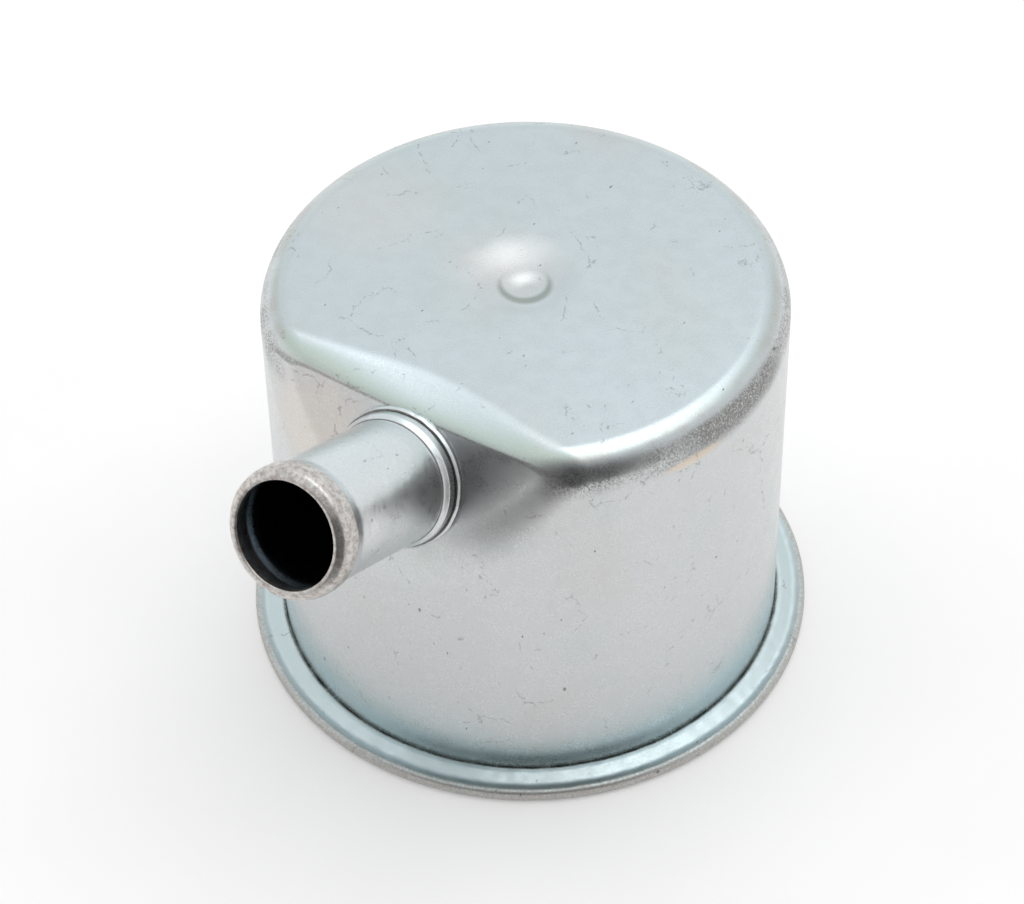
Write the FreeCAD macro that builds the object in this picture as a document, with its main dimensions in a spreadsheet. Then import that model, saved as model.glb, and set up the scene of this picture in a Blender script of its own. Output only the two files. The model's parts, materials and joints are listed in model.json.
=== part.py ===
"""Breather-type air filter housing: a drawn steel can with an angled hose spigot, and what it holds.

Below is a base plate whose rim is hemmed over the can's flange, with a collar and a sprung bayonet lock
for the filler neck. Inside is a filter pack between perforated screens.

Millimetres, +Z up. The origin is on the can's axis, level with the underside of the hemmed rim.
The hose spigot points to -Y and upwards.
"""
import FreeCAD, Part
import math
import os
import re
import Sketcher

SIZES = {
    # Drawn can
    "can_radius": 38.0,
    "can_height": 65.2,
    "can_sheet": 0.8,
    "can_top_bend": 4.4,
    "flange_bend": 1.2,
    "flange_width": 3.6,
    "dimple_radius": 5.4,
    "dimple_depth": 1.2,
    "dimple_floor_radius": 2.25,
    "dimple_bend": 2.6,
    # Flat pressed into the can square to the spigot's axis, and how far it runs past the spigot's ring
    "spigot_tilt": 24.2,
    "facet_foot_margin": 2.1,
    "facet_ridge_margin": 2.0,
    "facet_blend": 3.6,
    # Hose spigot, measured along its own axis from the facet
    "spigot_radius": 9.0,
    "spigot_wall": 0.8,
    "spigot_length": 29.1,
    "spigot_ring_width": 1.3,
    "spigot_ring_sheet": 1.1,
    "shoulder_rise": 0.75,
    "shoulder_width": 1.3,
    "bead_rise": 0.45,
    "bead_width": 3.4,
    "bead_land": 1.4,
    "bead_setback": 1.6,
    "mouth_lip": 1.35,
    "mouth_lip_depth": 1.2,
    "mouth_face_width": 0.6,
    "mouth_edge_round": 0.4,
    "nose_drop": 0.3,
    "nose_length": 0.7,
    "nose_round": 0.9,
    "bead_back_round": 0.8,
    "bead_front_round": 1.2,
    "bead_front_run": 0.4,
    "bead_sweep": 2.0,
    "bead_inner_sweep": 1.2,
    "shoulder_edge_round": 0.15,
    "shoulder_round": 0.5,
    "shoulder_slope": 0.4,
    "spigot_flare_width": 1.0,
    "spigot_flare_sheet": 0.9,
    "flare_round": 0.3,
    "ring_front_round": 0.45,
    # Base plate and its hem
    "plate_sheet": 0.6,
    "floor_height": 3.0,
    "plate_bend": 1.4,
    "plate_foot_bend": 1.0,
    "plate_floor_bend": 0.6,
    "hem_fold": 1.1,
    "hem_lip_rise": 0.55,
    "hem_lip_bend": 0.95,
    "hem_trough_place": 2.74,
    "hem_trough_drop": 0.05,
    "hem_trough_bend": 1.2,
    "hem_bead_rise": 1.05,
    "hem_bead_place": 0.85,
    "hem_bead_bend": 0.55,
    "hem_gap": 0.2,
    "hem_end_round": 0.25,
    "hem_edge_round": 0.1,
    "hem_foot_gap": 0.4,
    "hem_inner_bend": 0.3,
    # Neck collar and gasket
    "neck_bore_radius": 22.1,
    "neck_guide_length": 5.0,
    "neck_relief": 0.5,
    "collar_sheet": 0.8,
    "collar_depth": 12.5,
    "collar_flange_width": 3.6,
    "seat_width": 4.6,
    "gasket_thickness": 2.0,
    "gasket_inset": 0.4,
    "collar_mouth_round": 0.5,
    "collar_foot_bend": 0.6,
    "throat_edge_round": 0.2,
    # Bayonet lock
    "bridge_sheet": 1.2,
    "bridge_width": 12.0,
    "bridge_rivet_radius": 1.5,
    "bridge_rivet_head": 0.9,
    "stud_radius": 2.5,
    "stud_clearance": 0.08,
    "stud_tip_height": 0.6,
    "stud_tip_round": 0.5,
    "stud_shoulder_width": 1.5,
    "stud_shoulder_length": 5.1,
    "lock_plate_sheet": 1.2,
    "lock_ear_reach": 1.0,
    "lock_ear_width": 11.0,
    "lock_hub_radius": 10.0,
    "stud_head_height": 1.0,
    "lock_spring_height": 6.5,
    "lock_spring_gap": 1.95,
    "lock_wire": 0.9,
    "lock_spring_turns": 3.5,
    "lock_washer_width": 4.0,
    "lock_washer_sheet": 1.0,
    "clip_width": 1.9,
    "clip_sheet": 0.8,
    # Splash baffle
    "baffle_sheet": 0.8,
    "baffle_headroom": 1.2,
    "baffle_rise": 2.8,
    "baffle_leg_width": 9.0,
    "baffle_foot_length": 4.6,
    "baffle_foot_gap": 0.4,
    "baffle_rivet_radius": 1.2,
    "baffle_rivet_head": 0.7,
    "baffle_rivet_foot": 0.8,
    "baffle_rim_round": 0.4,
    "leg_inner_bend": 1.0,
    "leg_outer_bend": 0.4,
    # Filter pack and what holds it
    "spacer_inset": 3.0,
    "spacer_sheet": 0.8,
    "screen_headroom": 0.6,
    "screen_sheet": 0.8,
    "screen_gap": 0.5,
    "screen_hole_radius": 1.5,
    "screen_border": 4.2,
    "pack_gap": 0.3,
    "flare_clearance": 2.8,
    "pack_spring_wire": 1.2,
    "pack_spring_top_radius": 7.2,
    "pack_spring_bottom_radius": 12.2,
    "pack_spring_turns": 4.5,
}
RIVET_HEAD_RATIO = 1.5
HEAD_ROUND_RATIO = 0.8
BAFFLE_LEGS = 3
SCREEN_RINGS = 5
HOLES_PER_RING_STEP = 6

# Places worked out from the sizes
TILT = "(spigot_tilt * 1deg)"
RING_RADIUS = "(spigot_radius + spigot_ring_width)"
FACET_FOOT = f"({RING_RADIUS} + facet_foot_margin)"
FACET_DISTANCE = f"(can_radius * cos({TILT}) + (can_radius * sin({TILT}) - {FACET_FOOT}) * tan({TILT}))"
SPIGOT_HEIGHT = f"(can_height - ({RING_RADIUS} + facet_ridge_margin) * cos({TILT}))"
PIVOT_HEIGHT = f"({SPIGOT_HEIGHT} - {FACET_DISTANCE} * sin({TILT}))"
FLARE_RADIUS = "(spigot_radius + spigot_flare_width)"
MOUTH_RADIUS = "(spigot_radius - mouth_lip)"
CAN_INSIDE = "(can_radius - can_sheet)"
FLANGE_TOP = "(plate_sheet + can_sheet)"
FLANGE_EDGE = "(can_radius + flange_width)"
HEM_RADIUS = "(can_radius + flange_width + hem_fold)"
HEM_TOP = "(2 * plate_sheet + can_sheet)"
FLOOR_TOP = "(floor_height + plate_sheet)"
COLLAR_RADIUS = "(neck_bore_radius + neck_relief + collar_sheet)"
COLLAR_TOP = "(collar_depth + collar_sheet)"
BRIDGE_TOP = "(collar_depth + collar_sheet + bridge_sheet)"
THROAT_RADIUS = "(neck_bore_radius - seat_width)"
BRIDGE_RIVET_PLACE = f"(({THROAT_RADIUS} + {COLLAR_RADIUS}) / 2)"
STUD_SHOULDER = "(stud_radius + stud_shoulder_width)"
LOCK_SPRING_RADIUS = "(stud_radius + lock_spring_gap + lock_wire / 2)"
LOCK_TOP = f"({COLLAR_TOP} - stud_shoulder_length)"
LOCK_UNDERSIDE = f"({LOCK_TOP} - lock_plate_sheet)"
WASHER_UNDERSIDE = f"({BRIDGE_TOP} + lock_spring_height)"
WASHER_TOP = f"({WASHER_UNDERSIDE} + lock_washer_sheet)"
CLIP_TOP = f"({WASHER_TOP} + clip_sheet)"
STUD_TOP = f"({CLIP_TOP} + stud_tip_height)"
SPACER_RADIUS = f"({CAN_INSIDE} - spacer_inset)"
BAFFLE_RADIUS = f"({SPACER_RADIUS} - spacer_sheet - baffle_foot_gap - baffle_foot_length)"
BAFFLE_RIM = f"({STUD_TOP} + baffle_headroom + baffle_sheet - baffle_rise)"
BAFFLE_RIVET_PLACE = f"({BAFFLE_RADIUS} + baffle_foot_length / 2)"
FOOT_TOP = f"({FLOOR_TOP} + baffle_sheet)"
LOWER_SCREEN = f"({BAFFLE_RIM} + baffle_rise + screen_headroom)"
FLARE_UNDERSIDE = (f"({SPIGOT_HEIGHT} - (can_sheet + spigot_flare_sheet) * sin({TILT})"
                   f" - {FLARE_RADIUS} * cos({TILT}))")
UPPER_SCREEN = f"({FLARE_UNDERSIDE} - flare_clearance - screen_sheet)"
PACK_HEIGHT = f"(({UPPER_SCREEN} - {LOWER_SCREEN}) / 2 - screen_sheet)"
LOWER_PACK = f"({LOWER_SCREEN} + screen_sheet)"
MIDDLE_SCREEN = f"({LOWER_PACK} + {PACK_HEIGHT})"
UPPER_PACK = f"({MIDDLE_SCREEN} + screen_sheet)"
CAN_CEILING = "(can_height - can_sheet)"
PACK_SPRING_HEIGHT = f"({CAN_CEILING} - {UPPER_SCREEN} - screen_sheet)"
BEAD_RADIUS = "(spigot_radius + bead_rise)"

SHARP = "0"
EDGE_ROUND = "0.2"
OUTSIDE = 200.0  # well past the whole part, for the blocks that cut it

doc = FreeCAD.newDocument("filter_housing")
sheet = doc.addObject("Spreadsheet::Sheet", "Sizes")
for row, (alias, size) in enumerate(SIZES.items(), start=1):
    sheet.set(f"A{row}", alias)
    sheet.set(f"B{row}", str(size))
    sheet.setAlias(f"B{row}", alias)
doc.recompute()


def bound(expression):
    """The expression with each size's name pointing at its cell."""
    return re.sub(r"[a-z_]{3,}", lambda m: f"Sizes.{m[0]}" if m[0] in SIZES else m[0], expression)


def value(expression):
    return float(sheet.evalExpression(bound(expression)))


def bind(item, name, expression):
    item.setExpression(name, bound(expression))


def raise_to(item, expression):
    """Put an object at a height that follows the sizes."""
    bind(item, "Placement.Base.z", expression)
    return item


def new_body(name):
    body = doc.addObject("PartDesign::Body", name)
    body.Label = name
    return body


def new_sketch(body, name, role):
    sketch = body.newObject("Sketcher::SketchObject", name)
    plane = next(feature for feature in body.Origin.OriginFeatures if feature.Role == role)
    sketch.AttachmentSupport = [(plane, "")]
    sketch.MapMode = "FlatFace"
    return sketch


def dimension(sketch, kind, items, expression):
    """Add a driving dimension that follows the sizes."""
    index = sketch.addConstraint(Sketcher.Constraint(kind, *items, value(expression)))
    bind(sketch, f"Constraints[{index}]", expression)


def pin_point(sketch, geometry, place, across, up):
    dimension(sketch, "DistanceX", (geometry, place), across)
    dimension(sketch, "DistanceY", (geometry, place), up)


def bend_at(before, corner, after, radius):
    """The tangent arc that rounds a corner: its two ends, its centre and whether it turns left."""
    back = (before - corner).normalize()
    ahead = (after - corner).normalize()
    half_angle = back.getAngle(ahead) / 2
    reach = radius / math.tan(half_angle)
    middle = (back + ahead).normalize()
    centre = corner + middle * (radius / math.sin(half_angle))
    turns_left = (corner - before).cross(after - corner).z > 0
    return corner + back * reach, corner + ahead * reach, centre, turns_left


def arc_between(start, end, centre, radius, turns_left):
    """A circle's arc from start to end, and which of its ends is the start (1) or the end (2)."""
    angle = [math.atan2(point.y - centre.y, point.x - centre.x) for point in (start, end)]
    circle = Part.Circle(centre, FreeCAD.Vector(0, 0, 1), radius)
    if turns_left:
        return Part.ArcOfCircle(circle, angle[0], angle[1]), 1, 2
    return Part.ArcOfCircle(circle, angle[1], angle[0]), 2, 1


def draw_outline(sketch, corners):
    """Draw a closed outline through corners (across, up, bend radius), each bound to the sizes."""
    points = [FreeCAD.Vector(value(across), value(up), 0) for across, up, _ in corners]
    bends = []
    for index, (_, _, radius) in enumerate(corners):
        if radius == SHARP:
            bends.append((points[index], points[index], None, None))
        else:
            neighbours = points[index - 1], points[index], points[(index + 1) % len(points)]
            bends.append(bend_at(*neighbours, value(radius)))
    lines = []
    for index in range(len(corners)):
        start = bends[index][1]
        end = bends[(index + 1) % len(corners)][0]
        lines.append(sketch.addGeometry(Part.LineSegment(start, end)))
    for index, (across, up, radius) in enumerate(corners):
        before, after = lines[index - 1], lines[index]
        if radius == SHARP:
            sketch.addConstraint(Sketcher.Constraint("Coincident", before, 2, after, 1))
            pin_point(sketch, after, 1, across, up)
            continue
        start, end, centre, turns_left = bends[index]
        arc, first, last = arc_between(start, end, centre, value(radius), turns_left)
        bend = sketch.addGeometry(arc)
        corner = sketch.addGeometry(Part.Point(points[index]), True)
        sketch.addConstraint(Sketcher.Constraint("PointOnObject", corner, 1, before))
        sketch.addConstraint(Sketcher.Constraint("PointOnObject", corner, 1, after))
        sketch.addConstraint(Sketcher.Constraint("Tangent", before, 2, bend, first))
        sketch.addConstraint(Sketcher.Constraint("Tangent", bend, last, after, 1))
        dimension(sketch, "Radius", (bend,), radius)
        pin_point(sketch, corner, 1, across, up)


def draw_circle(sketch, across, up, radius):
    centre = FreeCAD.Vector(value(across), value(up), 0)
    circle = sketch.addGeometry(Part.Circle(centre, FreeCAD.Vector(0, 0, 1), value(radius)))
    dimension(sketch, "Radius", (circle,), radius)
    pin_point(sketch, circle, 3, across, up)


def turned(name, corners):
    """A body turned about its own Z axis from an outline of (radius, height, bend radius) corners."""
    body = new_body(name)
    sketch = new_sketch(body, f"{name}_outline", "XZ_Plane")
    draw_outline(sketch, corners)
    revolution = body.newObject("PartDesign::Revolution", f"{name}_turned")
    revolution.Profile = sketch
    revolution.ReferenceAxis = (sketch, ["V_Axis"])
    revolution.Angle = 360
    return body


def padded(body, name, draw, thickness, role="XY_Plane"):
    """Pad a sketch that draw() fills, away from its plane."""
    sketch = new_sketch(body, f"{name}_outline", role)
    draw(sketch)
    pad = body.newObject("PartDesign::Pad", name)
    pad.Profile = sketch
    bind(pad, "Length", thickness)
    return pad


def pierced(body, name, across, up, radius, count):
    """Cut a round hole through the body, parallel to its Z axis, and repeat it evenly round that axis."""
    sketch = new_sketch(body, f"{name}_outline", "XY_Plane")
    draw_circle(sketch, across, up, radius)
    pocket = body.newObject("PartDesign::Pocket", name)
    pocket.Profile = sketch
    pocket.Type = "ThroughAll"
    pocket.Midplane = True
    if count > 1:
        repeat_round(body, pocket, count)


def repeat_round(body, feature, count):
    axis = next(item for item in body.Origin.OriginFeatures if item.Role == "Z_Axis")
    pattern = body.newObject("PartDesign::PolarPattern", f"{feature.Name}_ring")
    pattern.Originals = [feature]
    pattern.Axis = (axis, [""])
    pattern.Angle = 360
    pattern.Occurrences = count
    body.Tip = pattern


def combined(kind, name, base, tool):
    """Cut, fuse or intersect two shapes."""
    result = doc.addObject(f"Part::{kind}", name)
    result.Base = base
    result.Tool = tool
    result.Label = name
    return result


def along_spigot(item, distance):
    """Stand an object on the spigot's axis, at a distance from the pivot and with its own Z along the axis."""
    item.Placement.Rotation = FreeCAD.Rotation(FreeCAD.Vector(1, 0, 0), 90 - value("spigot_tilt"))
    bind(item, "Placement.Rotation.Angle", "90 - spigot_tilt")
    bind(item, "Placement.Base.y", f"-({distance}) * cos({TILT})")
    bind(item, "Placement.Base.z", f"{PIVOT_HEIGHT} + ({distance}) * sin({TILT})")
    return item


def facet_block(name, inset):
    """The block that takes away everything past the facet's plane."""
    block = doc.addObject("Part::Box", name)
    block.Length = block.Width = block.Height = OUTSIDE
    holder = doc.addObject("Part::Compound", f"{name}_centred")
    block.Placement.Base = FreeCAD.Vector(-OUTSIDE / 2, -OUTSIDE / 2, 0)
    holder.Links = [block]
    return along_spigot(holder, f"{FACET_DISTANCE} - {inset}")


def flattened(name, solid, inset):
    """Flatten a turned shape at the facet and round the edge that this leaves all the way round it."""
    cut = combined("Cut", f"{name}_flattened", solid, facet_block(f"{name}_block", inset))
    doc.recompute()
    tilt = math.radians(value("spigot_tilt"))
    outward = FreeCAD.Vector(0, -math.cos(tilt), math.sin(tilt))
    level = value(FACET_DISTANCE) - value(inset) + value(PIVOT_HEIGHT) * math.sin(tilt)
    edges = []
    for index, edge in enumerate(cut.Shape.Edges, start=1):
        samples = edge.discretize(5)
        if all(abs(point.dot(outward) - level) < 0.001 for point in samples):
            edges.append(index)
    radius = value("facet_blend") - value(inset)
    rounded = doc.addObject("Part::Fillet", f"{name}_rounded")
    rounded.Base = cut
    rounded.Edges = [(index, radius, radius) for index in edges]
    return rounded


def make_can():
    """Deep-drawn cup with a dimpled flat top, an outward flange below, a facet and the spigot's hole."""
    outside = turned("can_outside", [
        ("0", "plate_sheet", SHARP),
        (FLANGE_EDGE, "plate_sheet", SHARP),
        (FLANGE_EDGE, FLANGE_TOP, SHARP),
        ("can_radius", FLANGE_TOP, "flange_bend"),
        ("can_radius", "can_height", "can_top_bend"),
        ("dimple_radius", "can_height", "dimple_bend"),
        ("dimple_floor_radius", "can_height - dimple_depth", "dimple_bend"),
        ("0", "can_height - dimple_depth", SHARP),
    ])
    inside = turned("can_inside", [
        ("0", "0", SHARP),
        (FLANGE_EDGE, "0", SHARP),
        (FLANGE_EDGE, "plate_sheet", SHARP),
        (CAN_INSIDE, "plate_sheet", "flange_bend + can_sheet"),
        (CAN_INSIDE, "can_height - can_sheet", "can_top_bend - can_sheet"),
        ("dimple_radius", "can_height - can_sheet", "dimple_bend"),
        ("dimple_floor_radius", "can_height - can_sheet - dimple_depth", "dimple_bend"),
        ("0", "can_height - can_sheet - dimple_depth", SHARP),
    ])
    outer_skin = flattened("outside", outside, "0")
    inner_skin = flattened("inside", inside, "can_sheet")
    shell = combined("Cut", "can_shell", outer_skin, inner_skin)
    drill = doc.addObject("Part::Cylinder", "spigot_drill")
    bind(drill, "Radius", "spigot_radius")
    bind(drill, "Height", FACET_DISTANCE)
    along_spigot(drill, f"{FACET_DISTANCE} / 2")
    return combined("Cut", "can", shell, drill)


def make_hose_spigot():
    """Tube with a rolled bead at its mouth, a swaged shoulder outside the can and a flare inside it."""
    inner = "(spigot_radius - spigot_wall)"
    end = "spigot_length"
    bead_end = "(spigot_length - bead_setback)"
    land_start = f"({bead_end} - (bead_width + bead_land) / 2)"
    land_end = f"({bead_end} - (bead_width - bead_land) / 2)"
    body = turned("hose_spigot", [
        (inner, "-can_sheet - spigot_flare_sheet", SHARP),
        (FLARE_RADIUS, "-can_sheet - spigot_flare_sheet", "flare_round"),
        (FLARE_RADIUS, "-can_sheet", SHARP),
        ("spigot_radius", "-can_sheet", SHARP),
        ("spigot_radius", "spigot_ring_sheet", SHARP),
        ("spigot_radius + shoulder_rise", "spigot_ring_sheet", "shoulder_edge_round"),
        ("spigot_radius + shoulder_rise", "spigot_ring_sheet + shoulder_width", "shoulder_round"),
        ("spigot_radius", "spigot_ring_sheet + shoulder_width + shoulder_slope", "shoulder_slope"),
        ("spigot_radius", f"{bead_end} - bead_width", "bead_sweep"),
        (BEAD_RADIUS, land_start, "bead_back_round"),
        (BEAD_RADIUS, f"{land_end} + bead_front_run", "bead_front_round"),
        (f"{BEAD_RADIUS} - nose_drop", f"{end} - nose_length", "nose_round"),
        (f"{MOUTH_RADIUS} + mouth_face_width", end, "mouth_edge_round"),
        (MOUTH_RADIUS, end, "mouth_edge_round / 2"),
        (MOUTH_RADIUS, f"{end} - mouth_lip_depth", "mouth_edge_round"),
        (f"{inner} + bead_rise", f"{land_end} - bead_front_run / 2", "shoulder_round"),
        (f"{inner} + bead_rise", land_start, "bead_back_round"),
        (inner, f"{bead_end} - bead_width", "bead_inner_sweep"),
    ])
    return along_spigot(body, FACET_DISTANCE)


def make_spigot_ring():
    """Flat ring clamped between the facet and the spigot's shoulder."""
    body = turned("spigot_ring", [
        ("spigot_radius", "0", SHARP),
        (RING_RADIUS, "0", EDGE_ROUND),
        (RING_RADIUS, "spigot_ring_sheet", "ring_front_round"),
        ("spigot_radius", "spigot_ring_sheet", SHARP),
    ])
    return along_spigot(body, FACET_DISTANCE)


def make_base_plate():
    """Pressed plate with a raised floor, and a rim folded up, over and down on the can's flange."""
    body = turned("base_plate", [
        (COLLAR_RADIUS, "floor_height", SHARP),
        (f"{CAN_INSIDE} - plate_sheet", "floor_height", "plate_floor_bend"),
        (f"{CAN_INSIDE} - plate_sheet", "0", "plate_foot_bend"),
        (HEM_RADIUS, "0", "plate_foot_bend"),
        (HEM_RADIUS, f"{HEM_TOP} + hem_lip_rise", "hem_lip_bend"),
        ("can_radius + hem_trough_place", f"{HEM_TOP} - hem_trough_drop", "hem_trough_bend"),
        ("can_radius + hem_bead_place", f"{HEM_TOP} + hem_bead_rise", "hem_bead_bend"),
        ("can_radius + hem_gap", f"{HEM_TOP} + hem_bead_rise * 2 / 3", "hem_end_round"),
        ("can_radius + hem_gap", f"{FLANGE_TOP} + flange_bend * 3 / 4", "hem_edge_round"),
        ("can_radius + flange_bend + hem_foot_gap", FLANGE_TOP, "plate_bend / 2"),
        (f"{HEM_RADIUS} - plate_sheet", FLANGE_TOP, "hem_inner_bend"),
        (f"{HEM_RADIUS} - plate_sheet", "plate_sheet", "hem_inner_bend"),
        (CAN_INSIDE, "plate_sheet", "plate_bend"),
        (CAN_INSIDE, FLOOR_TOP, "plate_floor_bend + plate_sheet"),
        (COLLAR_RADIUS, FLOOR_TOP, SHARP),
    ])
    pierced(body, "rivet_hole", "0", BAFFLE_RIVET_PLACE, "baffle_rivet_radius", BAFFLE_LEGS)
    return body


def make_neck_collar():
    """Cup that takes the filler neck: a guide bore at the rim, a relief and a lid with the throat."""
    body = turned("neck_collar", [
        ("neck_bore_radius", "0", SHARP),
        (COLLAR_RADIUS, "0", "collar_mouth_round"),
        (COLLAR_RADIUS, FLOOR_TOP, SHARP),
        (f"{COLLAR_RADIUS} + collar_flange_width", FLOOR_TOP, SHARP),
        (f"{COLLAR_RADIUS} + collar_flange_width", f"{FLOOR_TOP} + collar_sheet", EDGE_ROUND),
        (COLLAR_RADIUS, f"{FLOOR_TOP} + collar_sheet", "collar_foot_bend"),
        (COLLAR_RADIUS, COLLAR_TOP, "collar_sheet"),
        (THROAT_RADIUS, COLLAR_TOP, "throat_edge_round"),
        (THROAT_RADIUS, "collar_depth", "throat_edge_round"),
        ("neck_bore_radius + neck_relief", "collar_depth", SHARP),
        ("neck_bore_radius + neck_relief", "neck_guide_length", SHARP),
        ("neck_bore_radius", "neck_guide_length", SHARP),
    ])
    pierced(body, "lid_rivet_hole", BRIDGE_RIVET_PLACE, "0", "bridge_rivet_radius", 2)
    return body


def make_neck_gasket():
    """Flat rubber ring under the collar's lid, which the neck's rim presses on."""
    underside = "(collar_depth - gasket_thickness)"
    return turned("neck_gasket", [
        (f"{THROAT_RADIUS} + gasket_inset", underside, "gasket_thickness / 5"),
        ("neck_bore_radius + neck_relief", underside, "gasket_thickness / 5"),
        ("neck_bore_radius + neck_relief", "collar_depth", SHARP),
        (f"{THROAT_RADIUS} + gasket_inset", "collar_depth", SHARP),
    ])


def make_lock_bridge():
    """Strap across the throat that guides the stud, with a hole for it and for each rivet."""
    body = new_body("lock_bridge")
    half_width = "(bridge_width / 2)"
    end = f"({COLLAR_RADIUS} - collar_sheet)"
    padded(body, "strap", lambda sketch: draw_outline(sketch, [
        (f"-{end}", f"-{half_width}", "bridge_width / 3"),
        (end, f"-{half_width}", "bridge_width / 3"),
        (end, half_width, "bridge_width / 3"),
        (f"-{end}", half_width, "bridge_width / 3"),
    ]), "bridge_sheet")
    pierced(body, "guide_hole", "0", "0", "stud_radius + stud_clearance", 1)
    pierced(body, "strap_rivet_hole", BRIDGE_RIVET_PLACE, "0", "bridge_rivet_radius", 2)
    return raise_to(body, COLLAR_TOP)


def make_rivet(name, radius, grip, lower_head, upper_head):
    """Solid rivet on its own Z axis: its grip starts at 0, and a head of no height is flush."""
    head_radius = f"({radius} * {RIVET_HEAD_RATIO})"
    corners = [("0", f"-({lower_head})", SHARP)]
    if lower_head != "0":
        corners.append((head_radius, f"-({lower_head})", f"({lower_head}) * {HEAD_ROUND_RATIO}"))
        corners.append((head_radius, "0", SHARP))
    corners.append((radius, "0", SHARP))
    corners.append((radius, grip, SHARP))
    corners.append((head_radius, grip, SHARP))
    corners.append((head_radius, f"{grip} + {upper_head}", f"({upper_head}) * {HEAD_ROUND_RATIO}"))
    corners.append(("0", f"{grip} + {upper_head}", SHARP))
    return turned(name, corners)


def grouped(name, members):
    group = doc.addObject("Part::Compound", name)
    group.Links = members
    group.Label = name
    return group


def make_bridge_rivets():
    """Two rivets through the strap and the collar's lid, flush below so that the gasket lies flat."""
    members = []
    grip = "(collar_sheet + bridge_sheet)"
    for number, sign in enumerate(("", "-"), start=1):
        rivet = make_rivet(f"bridge_rivet_{number}", "bridge_rivet_radius", grip, "0", "bridge_rivet_head")
        bind(rivet, "Placement.Base.x", f"{sign}{BRIDGE_RIVET_PLACE}")
        members.append(raise_to(rivet, "collar_depth"))
    return grouped("bridge_rivets", members)


def make_lock_stud():
    """Stud with a peened head under the locking plate and a shoulder that stops on the strap."""
    return turned("lock_stud", [
        ("0", f"{LOCK_UNDERSIDE} - stud_head_height", SHARP),
        (STUD_SHOULDER, f"{LOCK_UNDERSIDE} - stud_head_height", f"stud_head_height * {HEAD_ROUND_RATIO}"),
        (STUD_SHOULDER, LOCK_UNDERSIDE, SHARP),
        ("stud_radius", LOCK_UNDERSIDE, SHARP),
        ("stud_radius", LOCK_TOP, SHARP),
        (STUD_SHOULDER, LOCK_TOP, SHARP),
        (STUD_SHOULDER, COLLAR_TOP, EDGE_ROUND),
        ("stud_radius", COLLAR_TOP, SHARP),
        ("stud_radius", STUD_TOP, "stud_tip_round"),
        ("0", STUD_TOP, SHARP),
    ])


def make_locking_plate():
    """Round hub with two ears that hook under the neck's rim; the ears' top edges are bevelled as cams."""
    body = new_body("locking_plate")
    half_width = "(lock_ear_width / 2)"
    end = f"({THROAT_RADIUS} + lock_ear_reach)"
    padded(body, "ears", lambda sketch: draw_outline(sketch, [
        (f"-{end}", f"-{half_width}", "lock_ear_width / 4"),
        (end, f"-{half_width}", "lock_ear_width / 4"),
        (end, half_width, "lock_ear_width / 4"),
        (f"-{end}", half_width, "lock_ear_width / 4"),
    ]), "lock_plate_sheet")
    padded(body, "hub", lambda sketch: draw_circle(sketch, "0", "0", "lock_hub_radius"), "lock_plate_sheet")
    doc.recompute()
    hub = body.Tip
    top = value("lock_plate_sheet")
    edges = [f"Edge{index}" for index, edge in enumerate(hub.Shape.Edges, start=1)
             if all(abs(point.z - top) < 0.001 for point in edge.discretize(3))]
    bevel = body.newObject("PartDesign::Chamfer", "cam_bevel")
    bevel.Base = (hub, edges)
    bind(bevel, "Size", "lock_plate_sheet / 3")
    pierced(body, "stud_hole", "0", "0", "stud_radius", 1)
    return raise_to(body, LOCK_UNDERSIDE)


def ring(name, inner, outer, height, place):
    """Flat ring with a small round on its outer edges."""
    body = turned(name, [
        (inner, "0", SHARP),
        (outer, "0", EDGE_ROUND),
        (outer, height, EDGE_ROUND),
        (inner, height, SHARP),
    ])
    return raise_to(body, place)


def coil(name, wire, first_radius, last_radius, height, turns):
    """Round-wire compression spring that rises from 0, with both ends ground flat to its height."""
    body = new_body(f"{name}_wire")
    section = new_sketch(body, f"{name}_section", "XZ_Plane")
    draw_circle(section, first_radius, "0", f"{wire} / 2")
    helix = body.newObject("PartDesign::AdditiveHelix", f"{name}_helix")
    helix.Profile = section
    helix.ReferenceAxis = (section, ["V_Axis"])
    helix.Mode = "height-turns-growth"
    bind(helix, "Height", height)
    bind(helix, "Turns", turns)
    bind(helix, "Growth", f"({last_radius} - {first_radius}) / {turns}")
    slab = doc.addObject("Part::Cylinder", f"{name}_slab")
    bind(slab, "Radius", f"{first_radius} + {last_radius}")
    bind(slab, "Height", height)
    return combined("Common", name, body, slab)


def make_lock_spring():
    """Spring between the strap and the washer, which holds the stud's shoulder up against the strap."""
    spring = coil("lock_spring", "lock_wire", LOCK_SPRING_RADIUS, LOCK_SPRING_RADIUS,
                  "lock_spring_height", "lock_spring_turns")
    return raise_to(spring, BRIDGE_TOP)


def make_pack_spring():
    """Conical spring hung from the can's top, round the dimple's underside, and widening to the screen."""
    spring = coil("pack_spring", "pack_spring_wire", "pack_spring_top_radius", "pack_spring_bottom_radius",
                  PACK_SPRING_HEIGHT, "pack_spring_turns")
    spring.Placement.Rotation = FreeCAD.Rotation(FreeCAD.Vector(1, 0, 0), 180)
    return raise_to(spring, CAN_CEILING)


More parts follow.
